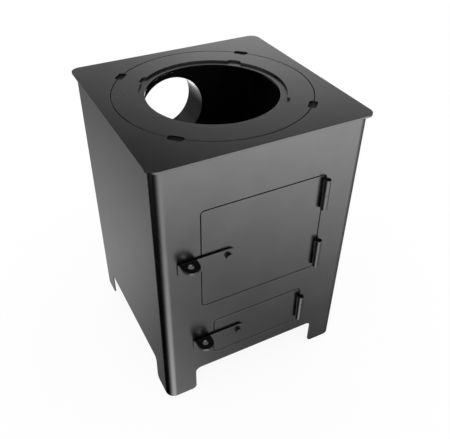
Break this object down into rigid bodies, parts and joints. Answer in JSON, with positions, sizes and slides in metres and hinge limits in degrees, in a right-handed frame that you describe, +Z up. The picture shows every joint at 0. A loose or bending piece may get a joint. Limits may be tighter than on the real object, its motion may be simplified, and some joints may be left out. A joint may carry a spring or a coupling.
{
  "type": "outdoor cooking stove",
  "caption": "Free-standing square sheet-steel stove for cooking outdoors, with a round lift-off hob ring, a fuel door over an ash door, turning latches and a rear flue collar.",
  "frame": {"origin": "on the ground, in the middle of the four feet", "axes": "+Z up; the doors face -Y and hang on the +X side; the flue leaves along +Y; +X is to the right of someone facing the doors"},
  "size_m": [0.45, 0.5455, 0.604],
  "materials": {
    "casing_steel": "satin black heat-resistant coating",
    "hob_steel": "satin black heat-resistant coating",
    "door_steel": "satin black heat-resistant coating",
    "fitting_steel": "satin black heat-resistant coating",
    "bare_steel": "dull zinc-plated or bare steel",
    "grate_iron": "rough cast"
  },
  "bodies": {
    "casing": {"casing_wrap": "casing_steel", "back_panel": "casing_steel", "flue_collar": "casing_steel", "top_plate": "hob_steel", "plate_ledge": "casing_steel", "ash_floor": "casing_steel", "grate_shelf": "casing_steel", "shelf_rails": "casing_steel", "upper_door_stop": "casing_steel", "lower_door_stop": "casing_steel", "upper_hinge_casing_knuckles": "fitting_steel", "lower_hinge_casing_knuckles": "fitting_steel", "upper_hinge_pins": "bare_steel", "lower_hinge_pins": "bare_steel"},
    "hob_ring": {"hob_ring": "hob_steel", "ring_ledge": "hob_steel"},
    "grate": {"grate": "grate_iron"},
    "upper_door": {"upper_door": "door_steel", "upper_hinge_door_knuckles": "fitting_steel"},
    "lower_door": {"lower_door": "door_steel", "lower_hinge_door_knuckles": "fitting_steel"},
    "upper_latch": {"upper_latch_bar": "fitting_steel", "upper_latch_pin": "fitting_steel", "upper_latch_washer": "bare_steel", "upper_latch_pawl": "bare_steel", "upper_latch_nut": "bare_steel"},
    "lower_latch": {"lower_latch_bar": "fitting_steel", "lower_latch_pin": "fitting_steel", "lower_latch_washer": "bare_steel", "lower_latch_pawl": "bare_steel", "lower_latch_nut": "bare_steel"}
  },
  "joints": [
    {"name": "upper_door_hinge", "type": "hinge", "parent": "casing", "child": "upper_door", "pos_m": [0.1325, -0.2247, 0.3765], "axis": [0, 0, 1], "range_deg": [0, 180]},
    {"name": "lower_door_hinge", "type": "hinge", "parent": "casing", "child": "lower_door", "pos_m": [0.10575, -0.2247, 0.14825], "axis": [0, 0, 1], "range_deg": [0, 180]},
    {"name": "upper_latch_turn", "type": "hinge", "parent": "upper_door", "child": "upper_latch", "pos_m": [-0.0775, -0.2175, 0.3753], "axis": [0, -1, 0], "range_deg": [0, 90]},
    {"name": "lower_latch_turn", "type": "hinge", "parent": "lower_door", "child": "lower_latch", "pos_m": [-0.05075, -0.2175, 0.15005], "axis": [0, -1, 0], "range_deg": [0, 90]},
    {"name": "hob_ring_lift", "type": "slide", "parent": "casing", "child": "hob_ring", "axis": [0, 0, 1], "range_m": [0, 0.08]},
    {"name": "grate_lift", "type": "slide", "parent": "casing", "child": "grate", "axis": [0, 0, 1], "range_m": [0, 0.1]}
  ]
}
